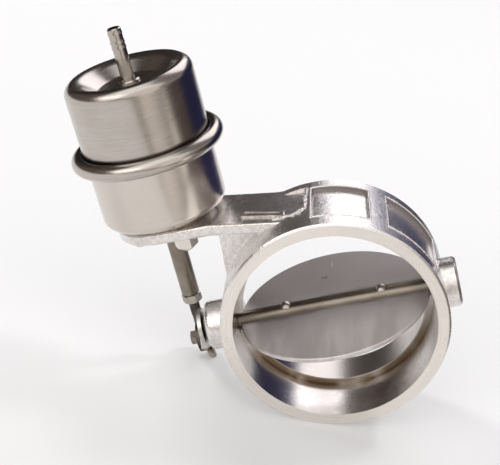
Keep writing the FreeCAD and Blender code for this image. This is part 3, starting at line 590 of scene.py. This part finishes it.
# %% One long side of a rim
POCKETS = {"first_pocket_rim": (-0.3, 29.3), "second_pocket_rim": (38.7, 74.0)}
POCKET_SIDES = (-0.0121, 0.0147)
RIM_REACH = 0.0429
RIM_RADIUS = 0.00046
RIM_STEPS = 160
RIM_SIDES = 10


def rim_side(y, first, last):
    clear()
    bpy.ops.mesh.primitive_torus_add(major_radius=RIM_REACH, minor_radius=RIM_RADIUS,
                                     major_segments=RIM_STEPS, minor_segments=RIM_SIDES,
                                     location=(0, y, 0), rotation=(math.pi / 2, 0, 0))
    side = settle(bpy.context.object, "rim_side")
    for angle, past_it in ((first, False), (last, True)):
        a = math.radians(angle)
        across = (math.cos(a), 0, -math.sin(a))
        bpy.ops.object.mode_set(mode="EDIT")
        bpy.ops.mesh.select_all(action="SELECT")
        bpy.ops.mesh.bisect(plane_co=(0, 0, 0), plane_no=across, use_fill=True,
                            clear_inner=not past_it, clear_outer=past_it)
        bpy.ops.object.mode_set(mode="OBJECT")
    return side


print("rims to make", len(POCKETS))

# %% [markdown]
# A short side is laid in both directions, so that both of its corners get a ball.

# %% Pocket rims
RIM_CELL = 0.00016
RIM_LUMPS = 0.00022
RIM_SPREAD = 0.0012

for name, (first, last) in POCKETS.items():
    sides = [rim_side(y, first, last) for y in POCKET_SIDES]
    for angle in (first, last):
        a = math.radians(angle)
        spot = (RIM_REACH * math.sin(a), RIM_REACH * math.cos(a))
        ends = [(spot[0], y, spot[1]) for y in POCKET_SIDES]
        sides += rod_between(*ends, RIM_RADIUS) + rod_between(*reversed(ends), RIM_RADIUS)
    rim = fuse(join(sides, name), RIM_CELL, RIM_LUMPS, RIM_SPREAD)
    rim.data.materials.append(cast_steel)
    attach(rim, "housing")

# %% [markdown]
# Between the arm's flat and the ring stands a rough seam. It follows the step's own outline, and
# its lumps are larger than the rims' ones, because nobody dressed it after casting. The points are
# in millimetres, as seen from above, and the height follows the ring or the arm below them.

# %% Rough seam
SEAM = [
    (-15.0, -5.2), (-12.4, -5.0), (-10.0, -4.3), (-6.6, -5.6), (-4.2, -4.8),
    (-2.6, -2.8), (-2.1, 2.0), (-2.3, 8), (-1.9, 14.6),
]
RING_REACH = 43.0
ARM_TOP = 41.6
SEAM_SUNK = 0.15
SEAM_RADIUS = 0.0007
SEAM_CELL = 0.00014
SEAM_LUMPS = 0.0013
SEAM_SPREAD = 0.0011
MM = 1000

points = []
for x, y in SEAM:
    height = max(ARM_TOP, math.sqrt(RING_REACH ** 2 - x ** 2))
    points.append((x / MM, y / MM, (height - SEAM_SUNK) / MM))
rods = []
for start, end in zip(points, points[1:]):
    rods += rod_between(start, end, SEAM_RADIUS)
seam = fuse(join(rods, "arm_seam"), SEAM_CELL, SEAM_LUMPS, SEAM_SPREAD)
seam.data.materials.append(cast_steel)
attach(seam, "housing")

# %% [markdown]
# A thread is a three-cornered wire wound round a core. A small triangle beside the axis is screwed
# up by a Screw modifier, and its two ends are filled. A bump would be cheaper, but the thread is
# seen from the side, where its outline shows.

# %% One thread
THREAD_STEPS = 20
WIRE_SHARE = 0.42
SHARP_ANGLE = 30
WELD = 0.000001


def thread(name, place, radius, pitch, turns, body, metal_name):
    clear()
    bpy.ops.mesh.primitive_circle_add(vertices=3, radius=pitch * WIRE_SHARE,
                                      location=(radius, 0, 0), rotation=(math.pi / 2, 0, 0))
    wound = settle(bpy.context.object, name)
    screw = wound.modifiers.new("turns", "SCREW")
    screw.angle = math.tau
    screw.screw_offset = pitch
    screw.iterations = turns
    screw.steps = THREAD_STEPS
    screw.render_steps = THREAD_STEPS
    bpy.ops.object.modifier_apply(modifier="turns")
    bpy.ops.object.mode_set(mode="EDIT")
    bpy.ops.mesh.select_all(action="SELECT")
    bpy.ops.mesh.remove_doubles(threshold=WELD)
    bpy.ops.mesh.select_all(action="DESELECT")
    bpy.ops.mesh.select_non_manifold()
    bpy.ops.mesh.edge_face_add()
    bpy.ops.mesh.select_all(action="SELECT")
    bpy.ops.mesh.normals_make_consistent(inside=False)
    bpy.ops.object.mode_set(mode="OBJECT")
    wound.location = place
    settle(wound, name)
    bpy.ops.object.shade_smooth_by_angle(angle=math.radians(SHARP_ANGLE))
    wound.data.materials.append(finishes[metal_name])
    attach(wound, body)
    print(name, "faces", len(wound.data.polygons))


print("a turn has", THREAD_STEPS, "steps")

# %% [markdown]
# The rod end's shank shows eight turns above the eye. The three studs show a few turns below their
# nuts. Each thread is given as its radius, its pitch and its turns, and it rides on the body of the
# piece that it is cut into.

# %% Threads on the rod end and the studs
ROD_X = -0.0584
ROD_Y = 0.021
SHANK_FOOT = -0.0048
STUD_REACH = 0.0136
STUD_FOOT = 0.0306
STUD_ANGLES = (180, 300, 60)
SHANK_THREAD = (0.00192, 0.0007, 8)
STUD_THREAD = (0.00246, 0.0005, 3)

thread("shank_thread", (ROD_X, ROD_Y, SHANK_FOOT), *SHANK_THREAD, "rod", "dark_steel")
for number, angle in enumerate(STUD_ANGLES, 1):
    a = math.radians(angle)
    place = (ROD_X + STUD_REACH * math.cos(a), ROD_Y + STUD_REACH * math.sin(a), STUD_FOOT)
    thread("stud_thread_%d" % number, place, *STUD_THREAD, "housing", "plated_steel")

# %% [markdown]
# The floor is a pale sheet that touches the ring and the lever's tab. The valve leans on it, so in
# the valve's own frame the floor is tilted. The sheet ends a little to the right of what the camera
# sees, as a table does.

# %% Floor sheet
RING_RADIUS = 0.043
FLOOR_LEAN = 20.0
FLOOR_SIZE = 6
TABLE_EDGE = (0.080, 0, 0)
EDGE_WAY = Vector((0.097, 0.753, 0)).normalized()

lean = math.radians(FLOOR_LEAN)
up = Vector((math.sin(lean), 0, math.cos(lean)))
clear()
bpy.ops.mesh.primitive_plane_add(size=FLOOR_SIZE, location=-RING_RADIUS * up, rotation=(0, lean, 0))
floor = bpy.context.object
floor.name = "floor"
bpy.ops.object.transform_apply(location=True, rotation=True, scale=True)
bpy.ops.object.mode_set(mode="EDIT")
bpy.ops.mesh.select_all(action="SELECT")
beyond = (EDGE_WAY.y, -EDGE_WAY.x, 0)
bpy.ops.mesh.bisect(plane_co=TABLE_EDGE, plane_no=beyond, clear_outer=True)
bpy.ops.object.mode_set(mode="OBJECT")
print("floor corners", len(floor.data.vertices))

# %% [markdown]
# A share of the sheet's tone is its own glow, which only the camera and reflections see. It lifts
# the shadows without more light on the valve. The sheet is seen from above only, so that a low view
# from the left still shows the valve.

# %% Floor finish
FLOOR_TONE = (0.82, 0.82, 0.82, 1)
FLOOR_ROUGHNESS = 0.8
GLOW_TONE = (0.91, 0.91, 0.91, 1)
GLOW_RAYS = ("Is Camera Ray", "Is Glossy Ray", "Is Transmission Ray")
GLOW_SHARE = 0.3

floor_finish = bpy.data.materials.new("floor_finish")
board = Board(floor_finish)
matt = {"Base Color": FLOOR_TONE, "Roughness": FLOOR_ROUGHNESS}
matt_sheet = board.node("ShaderNodeBsdfPrincipled", None, matt)
glow = board.node("ShaderNodeEmission", None, {"Color": GLOW_TONE})
seen = [board.node("ShaderNodeLightPath", output=name) for name in GLOW_RAYS]
share = (seen[0] + seen[1] + seen[2]) * GLOW_SHARE
sheet = board.node("ShaderNodeMixShader", None, [share, matt_sheet, glow])
underside = board.node("ShaderNodeNewGeometry", output="Backfacing")
see_through = board.node("ShaderNodeBsdfTransparent")
sheet = board.node("ShaderNodeMixShader", None, [underside, sheet, see_through])
board.node("ShaderNodeOutputMaterial", None, {"Surface": sheet})
floor.data.materials.append(floor_finish)
print("floor_finish nodes", len(board.tree.nodes))

# %% [markdown]
# Polished metal shows the room and little of its own. The real room isn't in the photo, so the
# world is a plain warm grey with soft round patches. Pale ones stand in front, and darker ones
# behind and at the sides. A bright one behind on the right is like a window, and a navy one low
# behind makes the dark band in the bore. A picture of a room is the usual way, but it would be
# another file, and patches can be moved one by one.

# %% A soft patch on the world
world = bpy.context.scene.world or bpy.data.worlds.new("room")
bpy.context.scene.world = world
board = Board(world)
direction = board.node("ShaderNodeTexCoord", output=0)


def towards(azimuth, elevation):
    """A direction: azimuth 0 is behind the ring and 90 on its right, elevation 90 straight up."""
    a = math.radians(azimuth)
    e = math.radians(elevation)
    return (math.sin(a) * math.cos(e), math.cos(a) * math.cos(e), math.sin(e))


def patch(azimuth, elevation, size, soft):
    """1 within size degrees of a direction, 0 further than soft degrees outside it."""
    inputs = [direction, towards(azimuth, elevation)]
    toward = board.node("ShaderNodeVectorMath", {"operation": "DOT_PRODUCT"}, inputs, output=1)
    return toward.above(math.cos(math.radians(size + soft)), math.cos(math.radians(size)))


print("world", world.name)

# %% [markdown]
# Each patch is an azimuth, an elevation, a size and a soft edge in degrees, and a colour. A later
# one lies over an earlier one. A colour above 1 is brighter than a white sheet.

# %% Room
ROOM = (0.36, 0.34, 0.32)
PATCHES = [
    (-20, 32, 46, 16, (0.045, 0.038, 0.035)),
    (-85, 25, 26, 18, (0.13, 0.105, 0.09)),
    (-150, 8, 26, 14, (0.40, 0.36, 0.32)),
    (-135, 48, 12, 8, (1.5, 1.42, 1.34)),
    (150, 52, 36, 16, (1.4, 1.4, 1.4)),
    (150, 10, 26, 12, (1.05, 0.98, 0.92)),
    (180, -14, 14, 12, (0.42, 0.38, 0.33)),
    (75, 40, 20, 18, (0.26, 0.23, 0.23)),
    (29, 27, 21, 7, (2.0, 1.96, 2.06)),
    (84, -28, 24, 4, (0.10, 0.075, 0.07)),
    (34, -22, 37, 5, (0.022, 0.022, 0.075)),
    (113, -28, 5, 5, (2.0, 1.88, 1.76)),
    (0, -90, 34, 14, (0.80, 0.77, 0.74)),
]

colour = ROOM
for azimuth, elevation, size, soft, tint in PATCHES:
    colour = board.mix(colour, tint, patch(azimuth, elevation, size, soft))
background = board.node("ShaderNodeBackground", None, {"Color": colour})
board.node("ShaderNodeOutputWorld", None, {"Surface": background})
print("patches", len(PATCHES))

# %% [markdown]
# Three soft lamps light the floor and the dull pieces: the key high behind on the left, one on the
# right, and a weak fill in front. In gloss the patches already give the bright places, so the key
# and the side lamp are hidden there. Each lamp is given as its place, size and power, and whether
# gloss shows it. All of them point at the middle of the ring.

# %% Lamps
LAMPS = {
    "key": ((-0.60, 0.975, 1.65), 0.5, 13, False),
    "side": ((1.1, 0.5, 0.7), 0.25, 5, False),
    "fill": ((-0.6, -0.9, 0.8), 0.8, 2, True),
}

for name, (place, size, power, in_gloss) in LAMPS.items():
    data = bpy.data.lights.new(name, "AREA")
    data.size = size
    data.energy = power
    lamp = bpy.data.objects.new(name, data)
    lamp.location = place
    lamp.rotation_euler = (-Vector(place)).to_track_quat("-Z", "Y").to_euler()
    lamp.visible_glossy = in_gloss
    bpy.context.collection.objects.link(lamp)
    print(name, "power", power)

# %% [markdown]
# The plain view transform shows a colour as it is written.

# %% View transform
bpy.context.scene.view_settings.view_transform = "Standard"
